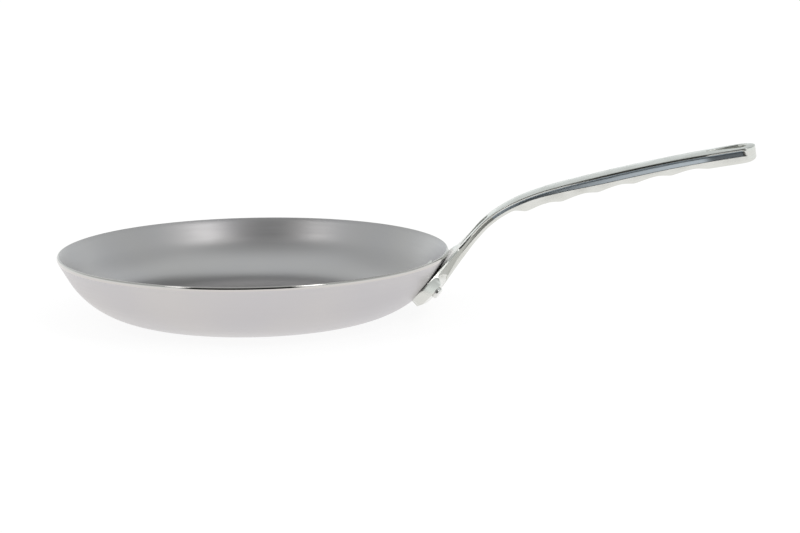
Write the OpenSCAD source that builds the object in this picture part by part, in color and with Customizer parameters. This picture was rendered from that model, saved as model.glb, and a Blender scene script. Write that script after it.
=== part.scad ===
// Omelette pan: a pressed steel bowl with a cast handle held by two solid rivets.
// Millimetres. The origin is the centre of the base's underside, and the handle points along +X.

/* [Bowl] */
// Outer diameter of the rim
rim_d = 280; // [268:1:292]
// Diameter of the flat base
base_d = 160; // [150:1:172]
// Height of the rim's outer edge above the base
rim_h = 44; // [41:0.5:49]
// Thickness of the sheet
wall_t = 2.5; // [2:0.1:3]
// Slope of the straight wall below the rim, in degrees from the horizontal
wall_slope = 60; // [57:1:63]

/* [Rivets] */
// Height of the rivets below the rim's edge
rivet_drop = 18.5; // [16:0.5:20]
// Distance between the two rivets, across the flange
rivet_pitch = 62; // [54:1:64]
// Diameter of the rivet shanks
rivet_d = 6; // [5:0.1:7]
// Clearance all round a shank in its holes
rivet_clearance = 0.1; // [0.05:0.05:0.2]
// Diameter of the outer button heads
button_d = 8.5; // [8:0.1:10]
// Height of the outer button heads
button_h = 3; // [2:0.1:4]
// Diameter of the low heads inside the bowl
dome_d = 10.5; // [9:0.1:12]
// Height of the low heads inside the bowl
dome_h = 2; // [1.5:0.1:2.5]

/* [Flange] */
// Gap between the wall and the flange at the rivets
flange_gap = 1; // [0.6:0.1:1.6]
// Gap left between a spacer pad and the wall
seat_gap = 0.05; // [0.02:0.01:0.1]
// Length of the flange below the rivets
flange_down = 19; // [17:0.5:22]
// Length of the flange above the rivets
flange_up = 19; // [17:0.5:21]
// Width over the two ears
ear_w = 80; // [77:1:86]
// Thickness of the ears
ear_t = 7; // [5.5:0.1:7.4]
// Width of the flange at its top
shoulder_w = 46; // [42:1:54]
// Thickness of the scooped plate above the ears
plate_t = 1.5; // [1.2:0.1:2]
// Depth of the hollow in each scoop
scoop_depth = 2.4; // [1:0.1:2.6]
// Width of the spine between the scoops
spine_w = 11; // [9:0.5:14]
// Height of the spine
spine_h = 7.6; // [7.6:0.1:9]
// How far the lower edge rises between the ears
ear_notch = 5; // [3:0.5:7]

/* [Handle] */
// Length along the handle from the rivets to the tip
handle_len = 253; // [248:1:268]
// Width of the neck
neck_w = 21; // [19:0.5:24]
// Width of the grip
grip_w = 23.5; // [21:0.5:25.5]
// Width of the hanging end
end_w = 27; // [25:0.5:30]
// Height of the section at the neck
neck_h = 6; // [5.4:0.1:7.2]
// Height of the section at the ridges between the finger scallops
grip_h = 11.4; // [10.4:0.1:12.4]
// Height of the section at the hanging end
end_h = 10.7; // [9.7:0.1:11.7]
// Thickness of the top rail at its edges
rail_t = 1.4; // [1:0.1:1.8]
// Greatest height of the open side of each groove
groove_h = 4.5; // [3.6:0.1:5.2]
// Depth of the side grooves along the grip
groove_depth = 4.4; // [3:0.1:6.5]
// Depth of the side grooves beside the two slots
slot_groove_depth = 2.6; // [1.5:0.1:3]
// Rise of the crowned top over its edges
crown = 0.7; // [0.3:0.1:1.2]
// Slope of the neck, in degrees from the horizontal
neck_slope = 49; // [46:0.5:53]
// Slope of the handle where the grip starts
grip_slope = 14.2; // [10:0.2:17]
// Slope of the handle at its tip
tip_slope = 8.6; // [6:0.2:13]
// Length of the bend from the neck to the grip
bend_len = 79; // [65:1:95]

/* [Finger scallops] */
// Number of finger scallops under the grip
scallops = 5; // [3:1:5]
// Distance from one scallop to the next
scallop_pitch = 26.3; // [22:0.1:27]
// Depth of a scallop
scallop_depth = 1.6; // [0.8:0.1:2.4]
// How far along each scallop its deepest point lies
scallop_skew = 0.62; // [0.4:0.02:0.7]

/* [Slots] */
// Length of the slot in the neck
neck_slot_len = 28; // [20:0.5:29]
// Greatest width of the slot in the neck
neck_slot_w = 11; // [7:0.5:12]
// Length of the hanging slot
hang_slot_len = 28; // [24:0.5:31]
// Greatest width of the hanging slot
hang_slot_w = 17; // [12:0.5:18]
// Metal left between the hanging slot and the tip
tip_wall = 6; // [5:0.5:8]

/* [Hidden] */

// Derived sizes of the bowl
rim_r = rim_d / 2;
base_r = base_d / 2;
// The curved side is tangent to the base and to the straight wall
side_r = ((rim_r - base_r) * sin(wall_slope) - rim_h * cos(wall_slope)) / (1 - cos(wall_slope));
arc_top = side_r * (1 - cos(wall_slope));
rim_edge = 0.4;
arc_step = 3;
turn_fn = 240;

// Slope of the outer wall at a height, and its radius there
function wall_angle(z) = z >= arc_top ? wall_slope : acos(1 - z / side_r);
function wall_radius(z) = z >= arc_top
    ? rim_r - (rim_h - z) / tan(wall_slope)
    : base_r + side_r * sin(wall_angle(z));

// Points of the side's arc at a depth inside the outer surface
function side_arc(depth) = [for (a = [0 : arc_step : wall_slope])
    [base_r + (side_r - depth) * sin(a), side_r - (side_r - depth) * cos(a)]];
function flip(points) = [for (i = [len(points) - 1 : -1 : 0]) points[i]];

// Seat of the handle: the wall at the rivets' height
seat_z = rim_h - rivet_drop;
seat_r = wall_radius(seat_z);
seat_a = wall_angle(seat_z);
rivet_az = asin(rivet_pitch / 2 / seat_r);
bore_r = rivet_d / 2 + rivet_clearance;
pad_r = bore_r + 2;
spot_depth = 0.4;
spot_r = button_d / 2 + 0.7;
// How far a cutter runs past what it cuts
past = 15;
// Distance from the wall's outer surface to the seat of a button head
clamp_t = flange_gap + ear_t - spot_depth;

// Lengths along the flange and the neck
toe_len = 9;
ledge_from = 3;
ledge_to = 10;
ear_top = 8;
ear_top_to = 14;
fillet_len = 5;
shoulder_run = 10;
neck_run = 23;
neck_len = 18;
straight_len = 28;
slot_run = 11;

// Distances along the handle, from the rivets
neck_at = flange_up + neck_run;
bend_at = flange_up + straight_len;
neck_end = neck_at + neck_len;
grip_at = bend_at + bend_len / 2;
grip_end = grip_at + scallops * scallop_pitch;
nose_len = 11;
nose_at = handle_len - nose_len;
nose_power = 2.4;
hang_end = handle_len - tip_wall;
neck_slot_at = flange_up + slot_run;
bend_ease = 2;

function mix(a, b, t) = a + (b - a) * t;

// A smooth curve through the points [distance, value] of a table, level where it turns
function steps_of(t) = [for (i = [0 : len(t) - 2]) (t[i + 1][1] - t[i][1]) / (t[i + 1][0] - t[i][0])];
function knot_slope(d, i) = i == 0 || i == len(d) ? 0
    : d[i - 1] * d[i] <= 0 ? 0
    : 2 * d[i - 1] * d[i] / (d[i - 1] + d[i]);
function hermite(a, b, ma, mb, h, u) = a * (1 + 2 * u) * pow(1 - u, 2) + b * (3 - 2 * u) * pow(u, 2)
    + h * u * pow(1 - u, 2) * ma - h * pow(u, 2) * (1 - u) * mb;
function smooth(s, t) = s <= t[0][0] ? t[0][1]
    : s >= t[len(t) - 1][0] ? t[len(t) - 1][1]
    : let (d = steps_of(t), i = len([for (knot = t) if (knot[0] <= s) 1]) - 1, h = t[i + 1][0] - t[i][0])
      hermite(t[i][1], t[i + 1][1], knot_slope(d, i), knot_slope(d, i + 1), h, (s - t[i][0]) / h);

// The flange follows the wall's straight part, then its arc
straight_below = max(0, (seat_z - arc_top) / sin(wall_slope));
function flange_slope(s) = seat_a + min(0, s + straight_below) / (side_r + flange_gap) * 180 / PI;

// Slope of the handle's top line at a distance along it
function slope(s) = s <= 0 ? flange_slope(s)
    : s <= flange_up ? seat_a
    : s <= flange_up + fillet_len ? mix(seat_a, neck_slope, (s - flange_up) / fillet_len)
    : s <= bend_at ? neck_slope
    : s <= bend_at + bend_len
        ? mix(grip_slope, neck_slope, pow(1 - (s - bend_at) / bend_len, bend_ease))
    : mix(grip_slope, tip_slope, (s - bend_at - bend_len) / (handle_len - bend_at - bend_len));

// Half widths of the top rail and of the bottom rail
function top_half(s) = smooth(s, [[-flange_down, ear_w / 2 - toe_len], [toe_len / 3 - flange_down, ear_w / 2 - toe_len / 3],
    [toe_len - flange_down, ear_w / 2], [flange_up, shoulder_w / 2], [flange_up + shoulder_run, neck_w / 2 + 1.8],
    [neck_at, neck_w / 2], [neck_end, neck_w / 2], [grip_at, grip_w / 2 - 0.5],
    [grip_end - scallop_pitch, grip_w / 2], [nose_at, end_w / 2]]);
function bottom_half(s) = smooth(s, [[flange_up - 15, spine_w / 2], [neck_at, neck_w / 2 - 2],
    [neck_end, neck_w / 2 - 2], [grip_at, grip_w / 2 - 1.5], [grip_end - scallop_pitch, grip_w / 2 - 1],
    [nose_at, end_w / 2 - 0.5]]);
// Thickness of the top rail's edge: thick ears, then the thin plate, then the rail
function edge_t(s) = smooth(s, [[-flange_down, ear_t - 2], [6 - flange_down, ear_t], [ear_top, ear_t],
    [ear_top_to, plate_t], [neck_at, rail_t], [nose_at, rail_t], [nose_at + 5, rail_t + 1]]);
// Depth below the top of the bottom rail's upper corner
function rail_level(s) = smooth(s, [[-flange_down, ear_t - 1.9], [6 - flange_down, ear_t + 0.1],
    [ledge_from, ear_t + 0.1], [ledge_to, spine_h - 1.5], [neck_at, rail_t + 0.5 * groove_h],
    [grip_at, rail_t + 0.5 * groove_h], [grip_at + scallop_pitch, rail_t + 0.7 * groove_h],
    [grip_at + 2.5 * scallop_pitch, rail_t + groove_h], [nose_at, rail_t + 0.88 * groove_h],
    [handle_len, end_h - 4]]);
// Height of the section, without the scallops
function full_h(s) = smooth(s, [[-flange_down, ear_t - 1], [0, spine_h], [flange_up, spine_h],
    [neck_at, neck_h], [grip_at - 11, neck_h], [grip_at, grip_h - 1.2],
    [grip_at + scallop_pitch, grip_h], [grip_end, end_h], [nose_at, end_h]]);
function scallop(s) = s <= grip_at || s >= grip_end ? 0
    : let (turns = (s - grip_at) / scallop_pitch, t = turns - floor(turns),
        half = t < scallop_skew ? t / scallop_skew : (1 - t) / (1 - scallop_skew))
      scallop_depth * pow(sin(90 * half), 1.3);
// Depth of the hollow between the two rails
function hollow(s) = smooth(s, [[ledge_from, 0], [ear_top_to, scoop_depth], [flange_up, scoop_depth + 0.4],
    [neck_at, slot_groove_depth], [neck_end, slot_groove_depth], [grip_at, groove_depth],
    [grip_end - 8, groove_depth], [grip_end + 6, slot_groove_depth], [hang_end - 6, slot_groove_depth],
    [hang_end - 1, 0]]);
// Shape of the hollow across its mouth: deepest near the spine at the flange, and close under the top rail along the grip
function groove_curve(u, s) = let (deepest = smooth(s, [[flange_up, 0.6], [neck_at, 0.36], [grip_at, 0.24]]))
    pow(sin(90 * (u < deepest ? u / deepest : (1 - u) / (1 - deepest))), 0.8);
// Bend of the section across its width: round the wall at the flange, crowned along the grip
function bend_across(s) = let (wrap = sin(seat_a) / (2 * (seat_r + min(s, flange_up) * cos(seat_a))))
    s <= flange_up ? wrap
    : smooth(s, [[flange_up, wrap], [neck_at, -0.3 * crown / pow(neck_w / 2, 2)],
        [grip_at, -crown / pow(grip_w / 2, 2)], [nose_at, -crown / pow(end_w / 2, 2)]]);
// The nose closes in plan, and less so in height
function nose(s) = s <= nose_at ? 1
    : pow(1 - pow((s - nose_at) / nose_len, nose_power), 1 / nose_power);

edge_round = 0.45;
foot_round = 1.8;
nose_pivot = 2;
groove_steps = 6;

// One side of the section, from the top's middle to the underside's middle, as [across, up]
function half_section(s) = let (
        w = top_half(s),
        t = edge_t(s),
        e = min(edge_round, t / 3),
        low = [bottom_half(s), -rail_level(s)],
        h = full_h(s) - scallop(s),
        rim = [w - e, -t],
        run = low - rim,
        inward = [run[1], -run[0]] / norm(run),
        foot = min(foot_round, (h + low[1]) * 0.7))
    concat(
        [[0, 0], [w * 0.4, 0], [w * 0.75, 0], [w - e, 0], [w, -e], [w, e - t], rim],
        [for (i = [1 : groove_steps - 1])
            rim + run * i / groove_steps + inward * hollow(s) * groove_curve(i / groove_steps, s)],
        [low, [low[0], foot - h], [low[0] - foot, -h], [low[0] / 2 - foot / 2, -h], [0, -h]]);

function bent(p, s) = [p[0], p[1] + bend_across(s) * pow(p[0], 2)];
function nosed(p, s) = [p[0] * nose(s), mix(-nose_pivot, p[1], mix(0.6, 1, nose(s)))];

// The whole section, round both sides
function section(s) = let (half = [for (p = half_section(s)) nosed(bent(p, s), s)], n = len(half))
    concat(half, [for (i = [n - 2 : -1 : 1]) [-half[i][0], half[i][1]]]);

// Distances of the sections: close at the ledge of the scoops and at the nose, eight to a scallop
scallop_step = scallop_pitch / 8;
ribs = concat(
    [for (i = [0 : 7]) mix(-flange_down, 0, i / 8)],
    [0],
    [for (i = [0 : 7]) mix(ledge_from, ear_top_to, i / 7)],
    [mix(ear_top_to, flange_up, 0.5)],
    [for (i = [0 : 19]) mix(flange_up, grip_at - 11, i / 20)],
    [for (i = [0 : 3]) mix(grip_at - 11, grip_at, i / 4)],
    [for (i = [0 : 8 * scallops - 1]) grip_at + i * scallop_step],
    [for (i = [0 : 5]) mix(grip_end, nose_at, i / 6)],
    [for (a = [0 : 10 : 80]) nose_at + nose_len * sin(a)]);

function heading(s) = [cos(slope(s)), 0, sin(slope(s))];
// The top line runs through a point for each section, and lies on the flange's seat at the rivets
trail = [for (i = 0, p = [0, 0, 0]; i < len(ribs);
    p = i + 1 < len(ribs) ? p + (ribs[i + 1] - ribs[i]) * heading((ribs[i] + ribs[i + 1]) / 2) : p,
    i = i + 1) p];
function along(s, points) = [for (k = [0 : 2])
    lookup(s, [for (i = [0 : len(ribs) - 1]) [ribs[i], points[i][k]]])];
seat = [seat_r + flange_gap * sin(seat_a), 0, seat_z - flange_gap * cos(seat_a)];
line = [for (p = trail) p - along(0, trail) + seat];

// Puts children on the handle's top line, X along the handle and Z out of its top
module on_handle(s) {
    translate(along(s, line))
        rotate([0, -slope(s), 0])
            children();
}

// Puts children on a rivet's axis, Z out of the wall's outer surface
module on_rivet(side) {
    rotate([0, 0, side * rivet_az])
        translate([seat_r, 0, seat_z])
            rotate([0, 180 - seat_a, 0])
                children();
}

// Solid of revolution between the outer surface of the bowl and one at a depth inside it
module bowl_shell() {
    lean = [cos(wall_slope), sin(wall_slope)];
    out = [sin(wall_slope), -cos(wall_slope)];
    outer_rim = [rim_r, rim_h];
    inner_rim = outer_rim - wall_t * out;
    rotate_extrude($fn = turn_fn)
        polygon(concat(
            [[0, 0]],
            side_arc(0),
            [outer_rim - rim_edge * lean, outer_rim - rim_edge * out,
                inner_rim + rim_edge * out, inner_rim - rim_edge * lean],
            flip(side_arc(wall_t)),
            [[0, wall_t]]));
}

// Everything inside the bowl's outer surface, grown by a gap
module bowl_space(gap) {
    lean = [cos(wall_slope), sin(wall_slope)];
    rotate_extrude($fn = turn_fn)
        polygon(concat(
            [[0, -gap]],
            side_arc(-gap),
            [[rim_r, rim_h] + gap * [sin(wall_slope), -cos(wall_slope)] + 10 * lean,
                [0, rim_h + 10 * sin(wall_slope)]]));
}

module shank_hole(from, to) {
    translate([0, 0, from])
        cylinder(h = to - from, r = bore_r, $fn = 48);
}

module pan_body() {
    color([0.72, 0.71, 0.70])
        difference() {
            bowl_shell();
            for (side = [-1, 1])
                on_rivet(side)
                    shank_hole(-wall_t - 3, 3);
        }
}

// Point halfway between the top's middle and the underside's middle of a ring
function middle(ring) = (ring[0] + ring[len(ring) / 2]) / 2;

// The handle's casting, lofted through its sections and closed by a fan of faces at each end
module casting() {
    n = len(section(0));
    m = len(ribs) - 1;
    placed = [for (i = [0 : m]) let (a = slope(ribs[i]))
        [for (p = section(ribs[i])) line[i] + [-p[1] * sin(a), p[0], p[1] * cos(a)]]];
    points = concat([for (ring = placed) each ring], [middle(placed[0]), middle(placed[m])]);
    sides = [for (i = [0 : m - 1]) for (k = [0 : n - 1])
        let (a = i * n + k, b = i * n + (k + 1) % n)
        each [[a, b, b + n], [a, b + n, a + n]]];
    first = [for (k = [0 : n - 1]) [(m + 1) * n, (k + 1) % n, k]];
    last = [for (k = [0 : n - 1]) [(m + 1) * n + 1, m * n + k, m * n + (k + 1) % n]];
    polyhedron(points = points, faces = concat(first, sides, last), convexity = 8);
}

// A slot with a small round end and a large one, along X from its small end
function slot_outline(length, width, small_r) = let (
        r = width / 2,
        reach = length - r - small_r,
        lean = asin((r - small_r) / reach))
    concat(
        [for (a = [90 + lean : 12 : 270 - lean]) [small_r + small_r * cos(a), small_r * sin(a)]],
        [for (a = [lean - 90 : 10 : 90 - lean]) [length - r + r * cos(a), r * sin(a)]]);

module slot_cut(at, length, width, small_r) {
    on_handle(at + length / 2)
        translate([-length / 2, 0, -end_h - past])
            linear_extrude(height = end_h + 2 * past)
                polygon(slot_outline(length, width, small_r));
}

// Round hollow that lifts the flange's lower edge between the ears
module notch_cut() {
    reach = ear_w / 3;
    r = (pow(reach, 2) + pow(ear_notch, 2)) / (2 * ear_notch);
    on_handle(0)
        translate([ear_notch - flange_down - r, 0, -past])
            cylinder(h = 2 * past, r = r, $fn = 120);
}

module spacer_pad(side) {
    on_rivet(side)
        translate([0, 0, -2])
            cylinder(h = 2 + flange_gap + plate_t / 2, r = pad_r, $fn = 48);
}

module handle() {
    color([0.80, 0.80, 0.78])
        difference() {
            union() {
                casting();
                difference() {
                    for (side = [-1, 1])
                        spacer_pad(side);
                    bowl_space(seat_gap);
                }
            }
            for (side = [-1, 1])
                on_rivet(side) {
                    shank_hole(-2, clamp_t + 1);
                    translate([0, 0, clamp_t])
                        cylinder(h = past, r = spot_r, $fn = 48);
                }
            notch_cut();
            slot_cut(neck_slot_at, neck_slot_len, neck_slot_w, 1.2);
            slot_cut(hang_end - hang_slot_len, hang_slot_len, hang_slot_w, 2);
        }
}

// Button outline, from its axis to its seat
function button_outline(r, h, corner) = concat(
    [[0, 0], [r, 0]],
    [for (a = [0 : 15 : 90]) [r - corner + corner * cos(a), h - corner + corner * sin(a)]],
    [[0, h]]);

module rivet(side) {
    color([0.76, 0.76, 0.75]) {
        on_rivet(side) {
            translate([0, 0, -wall_t - dome_h / 2])
                cylinder(h = wall_t + dome_h / 2 + clamp_t + button_h / 2, r = rivet_d / 2, $fn = 48);
            translate([0, 0, clamp_t])
                rotate_extrude($fn = 48)
                    polygon(button_outline(button_d / 2, button_h, 1));
        }
        difference() {
            on_rivet(side)
                translate([0, 0, -wall_t])
                    mirror([0, 0, 1])
                        dome();
            bowl_shell();
        }
    }
}

// Low inner head: a slice of a ball on a short rim that reaches the curved wall
module dome() {
    edge_h = 0.6;
    r = dome_d / 2;
    cap_h = dome_h - edge_h;
    ball_r = (pow(r, 2) + pow(cap_h, 2)) / (2 * cap_h);
    sweep = asin(r / ball_r);
    rotate_extrude($fn = 48)
        polygon(concat(
            [[0, -0.6], [r, -0.6]],
            [for (i = [0 : 6]) let (a = sweep * (1 - i / 6))
                [ball_r * sin(a), dome_h - ball_r + ball_r * cos(a)]]));
}

module rivet_left() {
    rivet(1);
}

module rivet_right() {
    rivet(-1);
}

pan_body();
handle();
rivet_left();
rivet_right();
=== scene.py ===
"""Looks of an omelette pan: brushed steel bowl, polished cast handle, two solid rivets and a plain studio."""

import math

import bmesh
import bpy
from bpy.props import FloatProperty, IntProperty, PointerProperty, StringProperty
from mathutils import Matrix, Vector
from mathutils.geometry import tessellate_polygon


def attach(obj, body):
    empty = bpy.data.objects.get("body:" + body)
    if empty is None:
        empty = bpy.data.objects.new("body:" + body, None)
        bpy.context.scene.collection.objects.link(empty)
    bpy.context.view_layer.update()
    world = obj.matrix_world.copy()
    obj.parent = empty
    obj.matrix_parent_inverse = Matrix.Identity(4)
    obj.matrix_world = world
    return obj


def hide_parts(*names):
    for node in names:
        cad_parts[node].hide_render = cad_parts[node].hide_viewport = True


bl_info = {
    "name": "Omelette Pan",
    "version": (1, 0, 0),
    "blender": (4, 5, 0),
    "location": "3D View > Sidebar > Omelette Pan",
    "description": "Makes the bowl, the cast handle and the rivets of an omelette pan, and a studio for them",
    "category": "Object",
}

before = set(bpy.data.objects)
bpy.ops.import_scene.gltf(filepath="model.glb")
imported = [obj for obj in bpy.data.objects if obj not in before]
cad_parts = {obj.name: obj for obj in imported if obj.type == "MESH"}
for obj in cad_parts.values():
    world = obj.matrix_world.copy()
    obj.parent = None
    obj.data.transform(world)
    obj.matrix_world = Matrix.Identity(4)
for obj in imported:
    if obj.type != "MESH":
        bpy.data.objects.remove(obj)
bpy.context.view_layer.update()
MM = 0.001


# Properties

def length(name, default, description):
    """A size in metres that the sidebar shows in the scene's units."""
    return FloatProperty(name=name, description=description, default=default, min=0.0,
                         subtype="DISTANCE", unit="LENGTH", precision=5)


def slope(name, default, description):
    """An angle from the horizontal."""
    return FloatProperty(name=name, description=description, default=math.radians(default),
                         subtype="ANGLE", unit="ROTATION")


class BowlSizes(bpy.types.PropertyGroup):
    """Sizes of the pressed bowl."""
    rim_diameter: length("Rim", 0.280, "Outer diameter of the rim")
    base_diameter: length("Base", 0.160, "Diameter of the flat base")
    rim_height: length("Height", 0.044, "Height of the rim's outer edge above the base")
    sheet: length("Sheet", 0.0025, "Thickness of the steel sheet")
    wall_slope: slope("Wall slope", 60, "Slope of the straight wall below the rim")
    edge_round: length("Rim round", 0.00115, "Radius of the polished rim's edges")
    segments: IntProperty(name="Segments", description="Faces round the bowl", default=256, min=48)


class HandleSizes(bpy.types.PropertyGroup):
    """Sizes of the cast handle."""
    reach: length("Length", 0.253, "Length along the handle from the rivets to the tip")
    flange_gap: length("Flange gap", 0.001, "Gap between the wall and the flange")
    flange_down: length("Flange below", 0.019, "Length of the flange below the rivets")
    flange_up: length("Flange above", 0.019, "Length of the flange above the rivets")
    ear_width: length("Ears", 0.080, "Width over the two ears")
    ear_thickness: length("Ear thickness", 0.007, "Thickness of the ears")
    shoulder_width: length("Shoulder", 0.046, "Width of the flange at its top")
    spine_width: length("Spine", 0.011, "Width of the spine between the scoops")
    spine_height: length("Spine height", 0.0076, "Height of the spine")
    neck_width: length("Neck", 0.021, "Width of the neck")
    grip_width: length("Grip", 0.0235, "Width of the grip")
    end_width: length("End", 0.027, "Width of the hanging end")
    neck_height: length("Neck height", 0.006, "Height of the section at the neck")
    grip_height: length("Grip height", 0.0114, "Height of the section at the ridges under the grip")
    end_height: length("End height", 0.0107, "Height of the section at the hanging end")
    rail: length("Rail", 0.0014, "Thickness of the top rail at its edges")
    groove_height: length("Groove height", 0.0045, "Greatest height of the open side of each groove")
    groove_depth: length("Groove", 0.0044, "Depth of the side grooves along the grip")
    crown: length("Crown", 0.0007, "Rise of the crowned top over its edges")
    neck_slope: slope("Neck slope", 49, "Slope of the neck")
    grip_slope: slope("Grip slope", 14.2, "Slope where the grip starts")
    tip_slope: slope("Tip slope", 8.6, "Slope at the tip")
    bend: length("Bend", 0.079, "Length of the bend from the neck to the grip")
    scallops: IntProperty(name="Scallops", description="Finger scallops under the grip", default=5, min=0)
    scallop_pitch: length("Scallop pitch", 0.0263, "Distance from one scallop to the next")
    scallop_depth: length("Scallop depth", 0.0016, "Depth of a scallop")


class RivetSizes(bpy.types.PropertyGroup):
    """Sizes and places of the rivets."""
    count: IntProperty(name="Rivets", description="Number of rivets", default=2, min=1)
    pitch: length("Pitch", 0.062, "Distance between the two rivets")
    drop: length("Drop", 0.0185, "Height of the rivets below the rim's edge")
    shank: length("Shank", 0.006, "Diameter of the shanks")
    button: length("Button", 0.0085, "Diameter of the outer heads")
    button_height: length("Button height", 0.003, "Height of the outer heads")
    dome: length("Inner head", 0.0105, "Diameter of the low heads inside the bowl")
    dome_height: length("Inner head height", 0.002, "Height of the low heads inside the bowl")


class Finishes(bpy.types.PropertyGroup):
    """Colours of the metals and of the stage, as sRGB hex values."""
    steel: StringProperty(name="Steel", description="Colour of the bowl's steel", default="CECAC7")
    casting: StringProperty(name="Casting", description="Colour of the handle's metal", default="DFDFDB")
    # Grooves and scoops: a darker, bluish grey than the casting, as painted shade and painted reflection of
    # these hollows
    groove: StringProperty(name="Groove", description="Colour of the metal in the grooves", default="B6BFC5")
    scoop: StringProperty(name="Scoops", description="Colour of the metal in the scoops", default="B2B3AD")
    rivet: StringProperty(name="Rivet", description="Colour of the rivets", default="E4E4E1")
    floor: StringProperty(name="Floor", description="Colour of the floor", default="FFFFFF")


# Shared helpers

def linear(hex_colour):
    """Turns an sRGB hex value into a linear RGBA colour."""
    parts = [int(hex_colour[i:i + 2], 16) / 255 for i in (0, 2, 4)]
    return tuple(c / 12.92 if c <= 0.04045 else ((c + 0.055) / 1.055) ** 2.4 for c in parts) + (1.0,)


def add_node(tree, kind, inputs=None, **settings):
    """Adds a node with its settings. Each of its inputs is given a value, or the socket that feeds it."""
    node = tree.nodes.new(kind)
    for key, value in settings.items():
        setattr(node, key, value)
    for key, value in (inputs or {}).items():
        if isinstance(value, bpy.types.NodeSocket):
            tree.links.new(value, node.inputs[key])
        else:
            node.inputs[key].default_value = value
    return node


def add_object(name, mesh):
    """Puts a mesh in the scene as an object at the origin."""
    obj = bpy.data.objects.new(name, mesh)
    bpy.context.scene.collection.objects.link(obj)
    return obj


def mesh_of(name, points, faces):
    """A mesh from points and faces."""
    mesh = bpy.data.meshes.new(name)
    mesh.from_pydata([tuple(p) for p in points], [], faces)
    mesh.update()
    return mesh


def settle(obj):
    """Makes an object's live modifiers part of its mesh, and takes them off."""
    bpy.context.view_layer.update()
    ready = obj.evaluated_get(bpy.context.evaluated_depsgraph_get())
    mesh = bpy.data.meshes.new_from_object(ready)
    obj.modifiers.clear()
    obj.data = mesh


def clean(mesh, merge=1e-6):
    """Merges doubles and points the faces outwards."""
    work = bmesh.new()
    work.from_mesh(mesh)
    bmesh.ops.remove_doubles(work, verts=work.verts, dist=merge)
    bmesh.ops.recalc_face_normals(work, faces=work.faces)
    work.to_mesh(mesh)
    work.free()


def shade(mesh, angle):
    """Smooth shading that stays crisp at edges over an angle."""
    mesh.polygons.foreach_set("use_smooth", [True] * len(mesh.polygons))
    mesh.set_sharp_from_angle(angle=math.radians(angle))


def lathe(name, outline, segments):
    """Spins an outline of (radius, height) points round Z. It starts and ends on the axis."""
    turns = [2 * math.pi * k / segments for k in range(segments)]
    points = [Vector((0, 0, outline[0][1]))]
    for r, z in outline[1:-1]:
        points += [Vector((r * math.cos(turn), r * math.sin(turn), z)) for turn in turns]
    points.append(Vector((0, 0, outline[-1][1])))
    faces = []
    rings = len(outline) - 2
    for k in range(segments):
        n = (k + 1) % segments
        faces.append((0, 1 + n, 1 + k))
        for i in range(rings - 1):
            a, b = 1 + i * segments, 1 + (i + 1) * segments
            faces.append((a + k, a + n, b + n, b + k))
        last = 1 + (rings - 1) * segments
        faces.append((last + k, last + n, len(points) - 1))
    return mesh_of(name, points, faces)


def loft(rings, n):
    """Faces between rings of n points each, one ring after the other."""
    return [(i * n + k, (i + 1) * n + k, (i + 1) * n + (k + 1) % n, i * n + (k + 1) % n)
            for i in range(rings - 1) for k in range(n)]


def arc(centre, radius, start, end, steps):
    """Points on an arc, with angles in degrees."""
    return [(centre[0] + radius * math.cos(math.radians(start + (end - start) * i / steps)),
             centre[1] + radius * math.sin(math.radians(start + (end - start) * i / steps)))
            for i in range(steps + 1)]


def cut(obj, tools):
    """Cuts tools out of an object."""
    for tool in tools:
        clean(tool.data)
        step = obj.modifiers.new("cut", "BOOLEAN")
        step.operation = "DIFFERENCE"
        step.solver = "EXACT"
        step.object = tool
    settle(obj)
    for tool in tools:
        bpy.data.objects.remove(tool)


def mix(a, b, t):
    """A value between two others."""
    return a + (b - a) * t


def smooth(s, table):
    """A smooth curve through (distance, value) knots, level where it turns."""
    if s <= table[0][0]:
        return table[0][1]
    if s >= table[-1][0]:
        return table[-1][1]
    rise = [(b[1] - a[1]) / (b[0] - a[0]) for a, b in zip(table, table[1:])]
    tilt = [0.0] + [2 * p * q / (p + q) if p * q > 0 else 0.0 for p, q in zip(rise, rise[1:])] + [0.0]
    i = max(k for k, knot in enumerate(table) if knot[0] <= s)
    (s0, a), (s1, b) = table[i], table[i + 1]
    h, u = s1 - s0, (s - s0) / (s1 - s0)
    return a * (1 + 2 * u) * (1 - u) ** 2 + b * (3 - 2 * u) * u ** 2 \
        + h * u * (1 - u) ** 2 * tilt[i] - h * u ** 2 * (1 - u) * tilt[i + 1]


# Materials

def metal(name, colour, roughness, anisotropic=0.0):
    """A bare metal: a new material with its tree, its shader and the object coordinates."""
    material = bpy.data.materials.new(name)
    material.use_nodes = True
    tree = material.node_tree
    tree.nodes.clear()
    shader = add_node(tree, "ShaderNodeBsdfPrincipled", {
        "Base Color": linear(colour), "Metallic": 1.0, "Roughness": roughness, "Anisotropic": anisotropic})
    add_node(tree, "ShaderNodeOutputMaterial", {"Surface": shader.outputs["BSDF"]})
    place = add_node(tree, "ShaderNodeTexCoord").outputs["Object"]
    return material, tree, shader, place


def round_coordinates(tree, place, stretch):
    """Object coordinates bent round Z: radius, angle times a stretch in metres, and height."""
    x, y, z = add_node(tree, "ShaderNodeSeparateXYZ", {0: place}).outputs
    flat = add_node(tree, "ShaderNodeCombineXYZ", {0: x, 1: y})
    radius = add_node(tree, "ShaderNodeVectorMath", {0: flat.outputs[0]}, operation="LENGTH")
    angle = add_node(tree, "ShaderNodeMath", {0: y, 1: x}, operation="ARCTAN2")
    turned = add_node(tree, "ShaderNodeMath", {0: angle.outputs[0], 1: stretch}, operation="MULTIPLY")
    return add_node(tree, "ShaderNodeCombineXYZ", {
        0: radius.outputs["Value"], 1: turned.outputs[0], 2: z}).outputs[0]


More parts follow.
